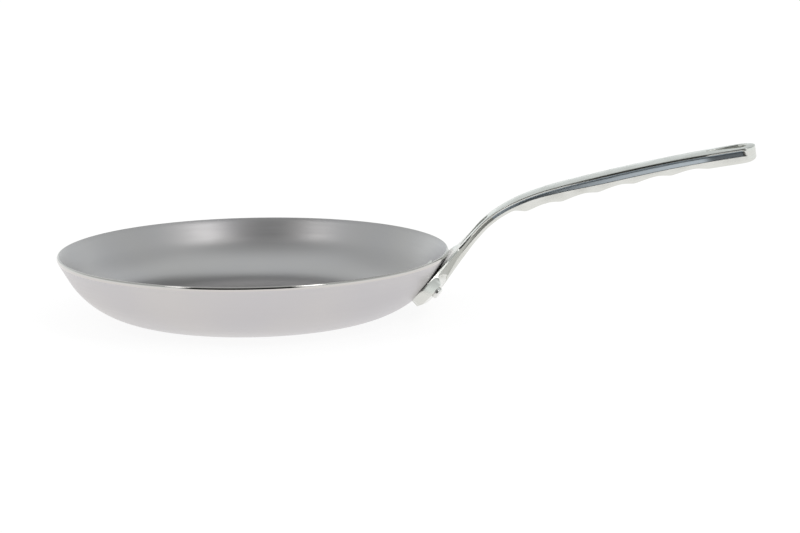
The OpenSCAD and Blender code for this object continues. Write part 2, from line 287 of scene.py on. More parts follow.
def brushed_steel(colour):
    """Carbon steel sheet, brushed on a spindle: its rings spread the highlights across the brushing."""
    roughness = 0.34
    material, tree, shader, place = metal("brushed_carbon_steel", colour, roughness, 0.45)
    rings = round_coordinates(tree, place, 0.004)
    # Rings 1.6 mm apart stand for grit marks of a few hundredths, which are too fine to show
    grit = add_node(tree, "ShaderNodeTexNoise", {
        "Vector": rings, "Scale": 620.0, "Detail": 3.0, "Roughness": 0.6})
    # Broad bands 20 mm apart, left by the spindle's feed
    feed = add_node(tree, "ShaderNodeTexNoise", {"Vector": rings, "Scale": 48.0, "Detail": 1.0})
    both = add_node(tree, "ShaderNodeMath", {0: grit.outputs["Fac"], 1: feed.outputs["Fac"]}, operation="ADD")
    rough = add_node(tree, "ShaderNodeMapRange", {
        "Value": both.outputs[0], "From Min": 0.6, "From Max": 1.4,
        "To Min": roughness - 0.05, "To Max": roughness + 0.06})
    tree.links.new(rough.outputs[0], shader.inputs["Roughness"])
    # Rolled sheet varies a little from warm to cool grey, over some 70 mm
    patch = add_node(tree, "ShaderNodeTexNoise", {"Vector": place, "Scale": 14.0, "Detail": 2.0})
    tint = add_node(tree, "ShaderNodeMix", {
        0: patch.outputs["Fac"], 6: linear(colour), 7: linear("C1BFC3")}, data_type="RGBA")
    tree.links.new(tint.outputs[2], shader.inputs["Base Color"])
    bump = add_node(tree, "ShaderNodeBump", {
        "Height": grit.outputs["Fac"], "Strength": 0.05, "Distance": 0.0002})
    tree.links.new(bump.outputs[0], shader.inputs["Normal"])
    tangent = add_node(tree, "ShaderNodeTangent", direction_type="RADIAL", axis="Z")
    tree.links.new(tangent.outputs[0], shader.inputs["Tangent"])
    return material


def polished_rim(colour):
    """The rim's edge, polished after trimming: it mirrors the room in thin bright and dark lines."""
    return metal("polished_carbon_steel", colour, 0.08)[0]


def polished_casting(colour):
    """Cast steel, tumbled and polished: bright, with the soft waves of a casting and a fine grain."""
    material, tree, shader, place = metal("polished_cast_steel", colour, 0.2)
    # Waves about 12 mm long that hand polishing leaves
    wave = add_node(tree, "ShaderNodeTexNoise", {"Vector": place, "Scale": 80.0, "Detail": 1.0})
    # Grain of 0.7 mm, drawn coarser than the casting's real skin
    grain = add_node(tree, "ShaderNodeTexNoise", {"Vector": place, "Scale": 1400.0, "Detail": 2.0})
    soft = add_node(tree, "ShaderNodeBump", {
        "Height": wave.outputs["Fac"], "Strength": 0.25, "Distance": 0.0004})
    fine = add_node(tree, "ShaderNodeBump", {
        "Height": grain.outputs["Fac"], "Normal": soft.outputs[0], "Strength": 0.05, "Distance": 0.0001})
    tree.links.new(fine.outputs[0], shader.inputs["Normal"])
    rough = add_node(tree, "ShaderNodeMapRange", {
        "Value": wave.outputs["Fac"], "From Min": 0.3, "From Max": 0.7, "To Min": 0.16, "To Max": 0.27})
    tree.links.new(rough.outputs[0], shader.inputs["Roughness"])
    tint = add_node(tree, "ShaderNodeMix", {
        0: wave.outputs["Fac"], 6: linear(colour), 7: linear("D3D3CD")}, data_type="RGBA")
    tree.links.new(tint.outputs[2], shader.inputs["Base Color"])
    return material


def grained(tree, shader, place, scale, strength):
    """Gives a metal's surface a fine grain, with so many grains to the metre."""
    grain = add_node(tree, "ShaderNodeTexNoise", {"Vector": place, "Scale": scale, "Detail": 2.0})
    bump = add_node(tree, "ShaderNodeBump", {
        "Height": grain.outputs["Fac"], "Strength": strength, "Distance": 0.0001})
    tree.links.new(bump.outputs[0], shader.inputs["Normal"])


def rough_metal_painted_shade(name, colour):
    """Rougher metal for the grooves and scoops; its darker colour is painted shade and painted reflection of
    these hollows.
    """
    material, tree, shader, place = metal(name, colour, 0.3)
    # Grain of 1 mm, drawn coarser than the real skin
    grained(tree, shader, place, 1000.0, 0.08)
    return material


def rivet_metal(colour):
    """Solid steel rivet, its head left bright and a little uneven by the setting tool."""
    material, tree, shader, place = metal("set_steel_rivet", colour, 0.28)
    # Dents of 1.1 mm, drawn coarser than the tool's real marks
    grained(tree, shader, place, 900.0, 0.1)
    return material


# Forms

class BowlForm:
    """The bowl's profile: flat base, side arc and straight wall, in metres."""

    def __init__(self, size):
        self.rim_r = size.rim_diameter / 2
        self.base_r = size.base_diameter / 2
        self.rim_h = size.rim_height
        self.sheet = size.sheet
        self.wall = size.wall_slope
        self.edge = size.edge_round
        self.side_r = ((self.rim_r - self.base_r) * math.sin(self.wall) - self.rim_h * math.cos(self.wall)) \
            / (1 - math.cos(self.wall))
        self.arc_top = self.side_r * (1 - math.cos(self.wall))
        # Directions up along the wall and out from it, as (radius, height)
        self.lean = Vector((math.cos(self.wall), math.sin(self.wall)))
        self.out = Vector((math.sin(self.wall), -math.cos(self.wall)))

    def angle(self, z):
        """Slope of the outer wall at a height."""
        return self.wall if z >= self.arc_top else math.acos(1 - z / self.side_r)

    def radius(self, z):
        """Radius of the outer wall at a height."""
        if z >= self.arc_top:
            return self.rim_r - (self.rim_h - z) / math.tan(self.wall)
        return self.base_r + self.side_r * math.sin(self.angle(z))

    def side(self, depth, steps=28):
        """Points of the side's arc at a depth inside the outer surface."""
        r = self.side_r - depth
        turns = [self.wall * i / steps for i in range(steps + 1)]
        return [(self.base_r + r * math.sin(turn), self.side_r - r * math.cos(turn)) for turn in turns]

    def outline(self):
        """The profile from the base's underside over the rim to the inside. The rim's outer edge is softly
        round, and its top edge and inner edge are crisp."""
        lean, out, e = self.lean, self.out, self.edge
        outer = Vector((self.rim_r, self.rim_h))
        inner = outer - out * self.sheet
        deg, turn, soft, crisp = math.degrees(self.wall), 20, e * 2, e / 2
        under = [(0.0, 0.0)] + [(self.base_r * i / 8, 0.0) for i in range(1, 8)] + self.side(0)
        wall = [tuple(Vector(under[-1]).lerp(outer - lean * e * 2, i / 6)) for i in range(1, 6)]
        centre = outer - out * soft - lean * ((soft - crisp) * math.cos(math.radians(turn)) + crisp)
        joint = math.radians(deg - turn)
        top = centre + (soft - crisp) * Vector((math.cos(joint), math.sin(joint)))
        rim = arc(centre, soft, deg - 90, deg - turn, 8) + arc(top, crisp, deg - turn / 2, deg, 2)
        rim += arc(inner - lean * crisp + out * crisp, crisp, deg, deg + 90, 4)
        inside = list(reversed(self.side(self.sheet)))
        down = [tuple((inner - lean * e).lerp(Vector(inside[0]), i / 6)) for i in range(1, 6)]
        floor = [(self.base_r * i / 8, self.sheet) for i in range(7, 0, -1)] + [(0.0, self.sheet)]
        return under + wall + rim + down + inside + floor


class HandleForm:
    """The casting's top line and sections. Distances run along the handle from the rivets, in millimetres."""

    def __init__(self, bowl, size, rivets):
        self.bowl = bowl
        for key in HandleSizes.__annotations__:
            value = getattr(size, key)
            if key != "scallops":
                value = math.degrees(value) if "slope" in key else value / MM
            setattr(self, key, value)
        self.side_r = bowl.side_r / MM
        self.seat_z = (bowl.rim_h - rivets.drop) / MM
        self.seat_r = bowl.radius(self.seat_z * MM) / MM
        self.seat_a = math.degrees(bowl.angle(self.seat_z * MM))
        self.straight = max(0.0, (self.seat_z - bowl.arc_top / MM) / math.sin(bowl.wall))
        # From where to where the bottom rail rises, and the thick ears end, over the scoops
        self.ledge = (2.5, 7.5)
        self.ear_top = (3.5, 8.5)
        self.spot_face = self.flange_gap + self.ear_thickness - 0.4
        self.neck_at = self.flange_up + 23
        self.neck_end = self.neck_at + 18
        self.bend_at = self.flange_up + 28
        self.grip_at = self.bend_at + self.bend / 2
        self.grip_end = self.grip_at + self.scallops * self.scallop_pitch
        self.nose_len = 11.0
        self.nose_at = self.reach - self.nose_len
        self.hang_end = self.reach - 6
        # Each slot's start, length, width and the radius of its small end
        self.neck_slot = (self.flange_up + 11, 28, 11, 1.2)
        self.hang_slot = (self.hang_end - 28, 28, 17, 2)
        # The grooves are shallower beside the slots
        self.slot_groove = 2.6
        # Places of the grooves' faces in a section
        self.groove_faces = range(13, 22)
        self.trace()

    def slope(self, s):
        """Slope of the top line, in degrees."""
        if s <= 0:
            return self.seat_a + min(0.0, s + self.straight) / (self.side_r + self.flange_gap) * 180 / math.pi
        if s <= self.flange_up:
            return self.seat_a
        if s <= self.flange_up + 5:
            return mix(self.seat_a, self.neck_slope, (s - self.flange_up) / 5)
        if s <= self.bend_at:
            return self.neck_slope
        if s <= self.bend_at + self.bend:
            return mix(self.grip_slope, self.neck_slope, (1 - (s - self.bend_at) / self.bend) ** 2)
        run = (s - self.bend_at - self.bend) / (self.reach - self.bend_at - self.bend)
        return mix(self.grip_slope, self.tip_slope, run)

    def trace(self):
        """Walks along the top line in short steps, with the seat at the rivets as its start."""
        self.step, self.start = 0.25, -self.flange_down
        count = int((self.reach + self.flange_down) / self.step) + 2
        self.path = [Vector((0, 0))]
        for i in range(count):
            a = math.radians(self.slope(self.start + (i + 0.5) * self.step))
            self.path.append(self.path[-1] + self.step * Vector((math.cos(a), math.sin(a))))
        a, gap = math.radians(self.seat_a), self.flange_gap
        seat = Vector((self.seat_r + gap * math.sin(a), self.seat_z - gap * math.cos(a)))
        offset = seat - self.on_path(0)
        self.path = [p + offset for p in self.path]

    def on_path(self, s):
        """A point of the top line, as (x, z)."""
        t = min(max((s - self.start) / self.step, 0), len(self.path) - 1.001)
        return self.path[int(t)].lerp(self.path[int(t) + 1], t - int(t))

    def place(self, s, across, up):
        """The point at a distance along the handle, across it and up from its top line, in metres."""
        a = math.radians(self.slope(s))
        base = self.on_path(s)
        return Vector((base.x - up * math.sin(a), across, base.y + up * math.cos(a))) * MM

    def heading(self, s):
        """Direction of the top line."""
        a = math.radians(self.slope(s))
        return Vector((math.cos(a), 0, math.sin(a)))

    def top_half(self, s):
        """Half width of the top rail."""
        d, ear = self.flange_down, self.ear_width / 2
        return smooth(s, [(-d, ear - 9), (3 - d, ear - 3), (9 - d, ear),
                          (self.flange_up, self.shoulder_width / 2),
                          (self.flange_up + 10, self.neck_width / 2 + 1.8),
                          (self.neck_at, self.neck_width / 2), (self.neck_end, self.neck_width / 2),
                          (self.grip_at, self.grip_width / 2 - 0.5),
                          (self.grip_end - self.scallop_pitch, self.grip_width / 2),
                          (self.nose_at, self.end_width / 2)])

    def bottom_half(self, s):
        """Half width of the bottom rail."""
        return smooth(s, [(self.flange_up - 15, self.spine_width / 2),
                          (self.neck_at, self.neck_width / 2 - 2), (self.neck_end, self.neck_width / 2 - 2),
                          (self.grip_at, self.grip_width / 2 - 1.5),
                          (self.grip_end - self.scallop_pitch, self.grip_width / 2 - 1),
                          (self.nose_at, self.end_width / 2 - 0.5)])

    def edge(self, s):
        """Thickness of the top rail's edge: thick ears, then the thin plate, then the rail."""
        d, t, plate = self.flange_down, self.ear_thickness, 1.5
        return smooth(s, [(-d, t - 2), (6 - d, t), (self.ear_top[0], t), (self.ear_top[1], plate),
                          (self.neck_at, self.rail), (self.nose_at, self.rail),
                          (self.nose_at + 5, self.rail + 1)])

    def rail_level(self, s):
        """Depth of the bottom rail's upper corner below the top."""
        d, t, g, pitch = self.flange_down, self.ear_thickness, self.groove_height, self.scallop_pitch
        return smooth(s, [(-d, t - 1.9), (6 - d, t + 0.1), (self.ledge[0], t + 0.1),
                          (self.ledge[1], self.spine_height - 1.5), (self.neck_at, self.rail + 0.5 * g),
                          (self.grip_at, self.rail + 0.5 * g), (self.grip_at + pitch, self.rail + 0.7 * g),
                          (self.grip_at + 2.5 * pitch, self.rail + g), (self.nose_at, self.rail + 0.88 * g),
                          (self.reach, self.end_height - 4)])

    def height(self, s):
        """Height of the section, with the scallops taken off."""
        full = smooth(s, [(-self.flange_down, self.ear_thickness - 1), (0, self.spine_height),
                          (self.flange_up, self.spine_height), (self.neck_at, self.neck_height),
                          (self.grip_at - 11, self.neck_height), (self.grip_at, self.grip_height - 1.2),
                          (self.grip_at + self.scallop_pitch, self.grip_height),
                          (self.grip_end, self.end_height), (self.nose_at, self.end_height)])
        if s <= self.grip_at or s >= self.grip_end:
            return full
        # A scallop is deepest at this share of its length, nearer to the tip
        deepest = 0.62
        t = (s - self.grip_at) / self.scallop_pitch % 1
        half = t / deepest if t < deepest else (1 - t) / (1 - deepest)
        return full - self.scallop_depth * math.sin(math.pi / 2 * half) ** 1.3

    def hollow(self, s):
        """Depth of the hollow between the rails."""
        return smooth(s, [(self.ledge[0], 0), (self.ear_top[1], 2.4), (self.flange_up, 2.8),
                          (self.neck_at, self.slot_groove), (self.neck_end, self.slot_groove),
                          (self.grip_at, self.groove_depth), (self.grip_end - 8, self.groove_depth),
                          (self.grip_end + 6, self.slot_groove), (self.hang_end - 6, self.slot_groove),
                          (self.hang_end - 1, 0)])

    def tilt(self, s):
        """Draft of the side, in degrees: the ears narrow away from the wall, and the rail narrows upwards."""
        ears, rail, grip = -13, 3, 17
        start, slot_at = self.grip_at + self.scallop_pitch, self.hang_slot[0]
        return smooth(s, [(self.ear_top[0], ears), (self.ear_top[1], rail), (start, rail),
                          (start + 2 * self.scallop_pitch, grip), (slot_at - 10, grip), (slot_at + 2, rail)])

    def lean(self, s):
        """Angle at which the groove's floor leans out towards the bottom rail, in degrees."""
        slot_at, pitch = self.hang_slot[0], self.scallop_pitch
        return smooth(s, [(self.neck_at, 8), (self.neck_end, 10), (self.grip_at, 14),
                          (self.grip_at + pitch, 7), (self.grip_at + 2 * pitch, 3.5),
                          (self.grip_at + 3 * pitch, 1.5), (slot_at - 17, 0), (slot_at - 5, 0),
                          (slot_at + 4, 9), (self.hang_end, 8)])

    def bow(self, s):
        """Bend of the section across its width: round the wall at the flange, crowned along the grip."""
        a = math.radians(self.seat_a)
        wrap = math.sin(a) / (2 * (self.seat_r + min(s, self.flange_up) * math.cos(a)))
        if s <= self.flange_up:
            return wrap
        return smooth(s, [(self.flange_up, wrap),
                          (self.neck_at, -0.3 * self.crown / (self.neck_width / 2) ** 2),
                          (self.grip_at, -self.crown / (self.grip_width / 2) ** 2),
                          (self.nose_at, -self.crown / (self.end_width / 2) ** 2)])

    def nose(self, s):
        """How far the section has closed in plan at the nose, along a rounded square's curve."""
        power = 2.4
        if s <= self.nose_at:
            return 1.0
        return max(0.0, 1 - min(1.0, (s - self.nose_at) / self.nose_len) ** power) ** (1 / power)

    def side(self, s, rim, low):
        """Points of the hollow from the top rail's lower corner to the bottom rail's upper one. It is a round
        scoop at the flange and turns into a groove with a flat floor, just undercut below the top rail."""
        hollow, run = self.hollow(s), low - rim
        inward = Vector((run.y, -run.x)).normalized()
        lean = math.tan(math.radians(self.lean(s)))
        channel = smooth(s, [(self.flange_up, 0), (self.neck_at, 1)]) * min(1, hollow * 2)
        # Shares of the way down: where a scoop is deepest, the undercut, and its turn into the floor
        deepest, under, turn = 0.6, 0.02, 0.05
        points = []
        for u in (0.008, 0.02, 0.045, 0.07, 0.38, 0.7, 0.955, 0.985):
            bulge = math.sin(math.pi / 2 * (u / deepest if u < deepest else (1 - u) / (1 - deepest))) ** 0.8
            scoop = rim + run * u + inward * hollow * bulge
            floor = low.x - min(hollow, 0.08) + (1 - u) * run.y * lean
            undercut = mix(rim.x, rim.x - hollow, min(1, u / under))
            floor = mix(undercut, floor, min(1, max(0, u - under) / turn))
            points.append(scoop.lerp(Vector((floor, rim.y + run.y * u)), channel))
        return points

    def section(self, s):
        """The closed section as (across, up) points, from the top's middle round both sides."""
        w, t, h, tilt = self.top_half(s), self.edge(s), self.height(s), self.tilt(s)
        # The flange's back stands nearer to the wall than the top line, and eases back to it at the neck
        lift = smooth(s, [(self.flange_up - 10, 0.5), (self.flange_up, 0)])
        # Radii of the top rail's upper and lower corner, and how far the lower one hangs over
        e, small, over = min(0.62, t * 0.3), 0.12, 0.25
        inset = (t - e) * math.tan(math.radians(tilt))
        # Corners: the top rail's upper and lower one, and the bottom rail's upper one
        top, rim = w - max(0.0, inset), Vector((w + min(0.0, inset) - over, -t))
        low = Vector((self.bottom_half(s), -self.rail_level(s)))
        foot, bevel = min(1.8, (h + low.y) * 0.7), min(0.18, (h + low.y) * 0.12)
        half = [(w * i / 4, lift) for i in range(4)] + [(top - 2 * e, lift)]
        half += arc((top - e, lift - e), e, 90, tilt, 3) + [(mix(top, rim.x + over, 0.6), mix(-e, -t, 0.6))]
        half += arc((rim.x + over - small, small - t), small, tilt, -60, 2) + [rim] + self.side(s, rim, low)
        half += [low, (low.x, low.y - bevel), (low.x, mix(low.y - bevel, foot - h, 0.5))]
        half += arc((low.x - foot, foot - h), foot, 0, -90, 4) + [(low.x / 2 - foot / 2, -h), (0, -h)]
        # The nose closes towards a level 2 mm below the top
        bow, nose = self.bow(s), self.nose(s)
        shaped = [(x * nose, mix(-2, y + bow * x ** 2, mix(0.6, 1, nose))) for x, y in map(Vector, half)]
        return shaped + [(-y, z) for y, z in reversed(shaped[1:-1])]

    def ribs(self):
        """Distances of the sections: close at the ledge and under the grip."""
        # Each stretch's start and its number of sections
        stops = [(0.2 - self.flange_down, 6), (6 - self.flange_down, 9), (self.ledge[0], 13),
                 (self.ear_top[1], 4), (self.flange_up, 34), (self.grip_at - 11, 8),
                 (self.grip_at, 16 * self.scallops), (self.grip_end, 14), (self.nose_at, 0)]
        ribs = [-self.flange_down]
        for (start, count), (end, _) in zip(stops, stops[1:]):
            ribs += [mix(start, end, i / count) for i in range(count)]
        return ribs + [self.nose_at + self.nose_len * math.sin(math.radians(a)) for a in range(0, 91, 6)]

    def skin(self, name):
        """The casting's mesh, lofted through its sections, with darker metal in the scoops and grooves as
        painted shade.
        """
        ribs = self.ribs()
        rings = [[self.place(s, y, z) for y, z in self.section(s)] for s in ribs]
        n = len(rings[0])
        points = [p for ring in rings for p in ring]
        mesh = mesh_of(name, points, loft(len(rings), n) + [tuple(f) for f in tessellate_polygon([rings[0]])])
        # Material 1 is the darker metal in the grooves, and 2 that in the scoops: painted shade of these
        # hollows
        for i, s in enumerate(ribs[:-1]):
            if self.ear_top[1] - 1 < s < self.hang_end - 4:
                for k in self.groove_faces:
                    for side in (k, n - 1 - k):
                        mesh.polygons[i * n + side].material_index = 1 if s > self.neck_end else 2
        return mesh

    def slot_tool(self, name, at, size, width, small_r, skin=(), lip=0.8):
        """A cutter for a pear-shaped slot that follows the handle's bend and rounds both lips."""
        r = width / 2
        lean = math.degrees(math.asin((r - small_r) / (size - r - small_r)))

        def ring(grow):
            return arc((at + small_r, 0), small_r + grow, 90 + lean, 270 - lean, 14) \
                + arc((at + size - r, 0), r + grow, lean - 90, 90 - lean, 26)
        # Heights over the surface, and how far the slot has widened there
        levels = [(4.0, lip)]
        for a in (0, 22, 45, 68, 90):
            levels.append((lip * (math.cos(math.radians(a)) - 1), lip * (1 - math.sin(math.radians(a)))))
        points, n = [], len(ring(0))
        for up, grow in levels:
            points += [self.place(s, y, up + self.bow(s) * y * y) for s, y in ring(grow)]
        for up, grow in reversed(levels):
            points += [self.place(s, y, -self.height(s) - up + self.bow(s) * y * y * 0.3)
                       for s, y in ring(grow)]
        layers = len(points) // n
        faces = loft(layers, n) + [tuple(range(n)), tuple(range((layers - 1) * n, layers * n))[::-1]]
        mesh = mesh_of(name, points, faces)
        # The slot's walls take the last of these materials; for the neck slot that is the darker scoop metal,
        # painted shade inside the slot
        for material in skin:
            mesh.materials.append(material)
        mesh.polygons.foreach_set("material_index", [max(0, len(skin) - 1)] * len(mesh.polygons))
        return add_object(name, mesh)

    def notch_tool(self, name, rise=5.0):
        """A round cutter that lifts the flange's lower edge between the ears."""
        reach, deep = self.ear_width / 3, 20
        r = (reach ** 2 + rise ** 2) / (2 * rise)
        outline = arc((rise - self.flange_down - r, 0), r, -24, 24, 48)
        points = [self.place(0, y, z) + (s * MM) * self.heading(0) for z in (-deep, deep) for s, y in outline]
        n = len(outline)
        faces = [(k, k + 1, n + k + 1, n + k) for k in range(n - 1)] + [(n - 1, 0, n, 2 * n - 1)]
        faces += [tuple(range(n))[::-1], tuple(range(n, 2 * n))]
        return add_object(name, mesh_of(name, points, faces))


def rivet_places(form, rivets):
    """Matrices that put Z on each rivet's axis, out of the wall."""
    swing = math.asin(rivets.pitch / 2 / (form.seat_r * MM))
    seat = Matrix.Translation((form.seat_r * MM, 0, form.seat_z * MM))
    tilt = Matrix.Rotation(math.radians(180 - form.seat_a), 4, "Y")
    return [Matrix.Rotation(side * swing, 4, "Z") @ seat @ tilt for side in (-1, 1)]


def rivet_tree(name):
    """A node tree that sets rivets on the wall, spread evenly round the handle's middle."""
    tree = bpy.data.node_groups.new(name, "GeometryNodeTree")
    face = tree.interface
    face.new_socket("Geometry", in_out="OUTPUT", socket_type="NodeSocketGeometry")
    for label, kind, value in (("Rivet", "NodeSocketObject", None), ("Count", "NodeSocketInt", 2),
                               ("Spread", "NodeSocketFloat", 0.5), ("Seat Radius", "NodeSocketFloat", 0.13),
                               ("Seat Height", "NodeSocketFloat", 0.025), ("Tilt", "NodeSocketFloat", 2.0),
                               ("Metal", "NodeSocketMaterial", None)):
        socket = face.new_socket(label, in_out="INPUT", socket_type=kind)
        if value is not None:
            socket.default_value = value
    given = add_node(tree, "NodeGroupInput").outputs
    points = add_node(tree, "GeometryNodePoints", {"Count": given["Count"]})
    # Each step's first term, operation and second term. A name stands for an earlier step
    terms = {"index": add_node(tree, "GeometryNodeInputIndex").outputs[0]}
    for step, first, operation, second in (("less", given["Count"], "SUBTRACT", 1.0),
                                           ("gaps", "less", "MAXIMUM", 1.0),
                                           ("share", "index", "DIVIDE", "gaps"),
                                           ("off", "share", "SUBTRACT", 0.5),
                                           ("turn", "off", "MULTIPLY", given["Spread"]),
                                           ("cosine", "turn", "COSINE", 0.0),
                                           ("sine", "turn", "SINE", 0.0),
                                           ("x", "cosine", "MULTIPLY", given["Seat Radius"]),
                                           ("y", "sine", "MULTIPLY", given["Seat Radius"])):
        inputs = {0: terms.get(first, first), 1: terms.get(second, second)}
        terms[step] = add_node(tree, "ShaderNodeMath", inputs, operation=operation).outputs[0]
    seat = add_node(tree, "ShaderNodeCombineXYZ", {0: terms["x"], 1: terms["y"], 2: given["Seat Height"]})
    put = add_node(tree, "GeometryNodeSetPosition", {
        "Geometry": points.outputs[0], "Position": seat.outputs[0]})
    aim = add_node(tree, "ShaderNodeCombineXYZ", {1: given["Tilt"], 2: terms["turn"]})
    shape = add_node(tree, "GeometryNodeObjectInfo", {"Object": given["Rivet"]})
    place = add_node(tree, "GeometryNodeInstanceOnPoints", {
        "Points": put.outputs[0], "Instance": shape.outputs["Geometry"], "Rotation": aim.outputs[0]})
    real = add_node(tree, "GeometryNodeRealizeInstances", {0: place.outputs[0]})
    paint = add_node(tree, "GeometryNodeSetMaterial", {
        "Geometry": real.outputs[0], "Material": given["Metal"]})
    add_node(tree, "NodeGroupOutput", {0: paint.outputs[0]})
    return tree


# Operators

class MakeBowl(bpy.types.Operator):
    """Makes the pressed bowl with its polished rim."""
    bl_idname = "omelette_pan.make_bowl"
    bl_label = "Bowl"

    def execute(self, context):
        scene = context.scene
        form = BowlForm(scene.pan_bowl)
        mesh = lathe("bowl", form.outline(), scene.pan_bowl.segments)
        mesh.materials.append(brushed_steel(scene.pan_finishes.steel))
        mesh.materials.append(polished_rim(scene.pan_finishes.steel))
        clean(mesh)
        for face in mesh.polygons:
            radius = Vector(face.center[:2]).length
            below = Vector((form.rim_r, form.rim_h)) - Vector((radius, face.center[2]))
            # The polish goes down the rim's rounded edge, and stops short of the flat wall inside
            outside = below.dot(form.out) < form.sheet * 0.75
            polished = form.edge * (2 if outside else 0.35)
            face.material_index = 1 if below.dot(form.lean) < polished else 0
        shade(mesh, 50)
        bowl = add_object("bowl", mesh)
        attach(bowl, "root")
        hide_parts("pan_body")
        return {"FINISHED"}


class MakeHandle(bpy.types.Operator):
    """Makes the cast handle with its flange, grooves, scallops and slots."""
    bl_idname = "omelette_pan.make_handle"
    bl_label = "Handle"

    def execute(self, context):
        scene = context.scene
        form = HandleForm(BowlForm(scene.pan_bowl), scene.pan_handle, scene.pan_rivets)
        mesh = form.skin("cast_handle")
        mesh.materials.append(polished_casting(scene.pan_finishes.casting))
        # The grooves and scoops get rougher, darker metal: the darker colour is painted shade of these
        # hollows
        mesh.materials.append(rough_metal_painted_shade("as_cast_steel_groove", scene.pan_finishes.groove))
        mesh.materials.append(rough_metal_painted_shade("as_cast_steel_flange", scene.pan_finishes.scoop))
        clean(mesh, 2e-7)
        handle = add_object("cast_handle", mesh)
        finer = handle.modifiers.new("finer", "SUBSURF")
        finer.levels = finer.render_levels = 1
        settle(handle)
        # The neck slot's walls get the darker scoop metal, as painted shade inside the slot
        tools = [form.slot_tool("neck_slot_tool", *form.neck_slot, mesh.materials),
                 form.slot_tool("hanging_slot_tool", *form.hang_slot),
                 form.notch_tool("notch_tool")]
        cut(handle, tools + self.rivet_tools(form, scene.pan_rivets))
        shade(handle.data, 40)
        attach(handle, "root")
        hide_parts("handle")
        return {"FINISHED"}

    def rivet_tools(self, form, rivets):
        """Cutters for the bores and the spot faces under the button heads."""
        seat = form.spot_face * MM
        # The bore clears the shank by 0.1 mm, and the spot face clears the button by 0.7 mm
        bore, spot = rivets.shank / 2 + 0.0001, rivets.button / 2 + 0.0007
        outline = [(0, -0.004), (bore, -0.004), (bore, seat), (spot, seat), (spot + 0.0002, seat + 0.0005),
                   (spot + 0.0002, seat + 0.006), (0, seat + 0.006)]
        tools = []
        for place in rivet_places(form, rivets):
            mesh = lathe("rivet_tool", outline, 48)
            mesh.transform(place)
            tools.append(add_object("rivet_tool", mesh))
        return tools


class MakeRivets(bpy.types.Operator):
    """Makes the rivets and sets them through the flange and the wall."""
    bl_idname = "omelette_pan.make_rivets"
    bl_label = "Rivets"

    def execute(self, context):
        scene = context.scene
        rivets = scene.pan_rivets
        form = HandleForm(BowlForm(scene.pan_bowl), scene.pan_handle, rivets)
        rivet = add_object("rivet_shape", lathe("rivet_shape", self.outline(form, rivets), 48))
        clean(rivet.data)
        shade(rivet.data, 50)
        row = add_object("rivets", bpy.data.meshes.new("rivets"))
        tree = rivet_tree("rivet_row")
        step = row.modifiers.new("row", "NODES")
        step.node_group = tree
        values = {"Rivet": rivet, "Count": rivets.count,
                  "Spread": 2 * math.asin(rivets.pitch / 2 / (form.seat_r * MM)),
                  "Seat Radius": form.seat_r * MM, "Seat Height": form.seat_z * MM,
                  "Tilt": math.radians(180 - form.seat_a), "Metal": rivet_metal(scene.pan_finishes.rivet)}
        for item in tree.interface.items_tree:
            if item.item_type == "SOCKET" and item.in_out == "INPUT":
                step[item.identifier] = values[item.name]
        settle(row)
        bpy.data.objects.remove(rivet)
        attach(row, "root")
        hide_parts("rivet_left", "rivet_right")
        return {"FINISHED"}

    def outline(self, form, rivets):
        """The rivet's profile, from the low inner head to the button outside."""
        wall, seat = -form.bowl.sheet, form.spot_face * MM
        # The inner head: a cap of a ball over a low edge
        r, edge = rivets.dome / 2, 0.0006
        cap = rivets.dome_height - edge
        ball = (r * r + cap * cap) / (2 * cap)
        turns = [math.asin(r / ball) * i / 10 for i in range(11)]
        inner = [(ball * math.sin(turn), wall - rivets.dome_height + ball - ball * math.cos(turn))
                 for turn in turns]
        inner += [(r, wall + 0.0002), (rivets.shank / 2, wall + 0.0002)]
        # The button: a rounded edge round a nearly flat top
        b, top, c = rivets.button / 2, seat + rivets.button_height, 0.0011
        button = [(b - 0.0001, seat), (b, seat + 0.0002)] + arc((b - c, top - c), c, 0, 80, 6)
        return inner + [(rivets.shank / 2, seat)] + button + [(b * 0.5, top + 0.00002), (0, top + 0.00005)]


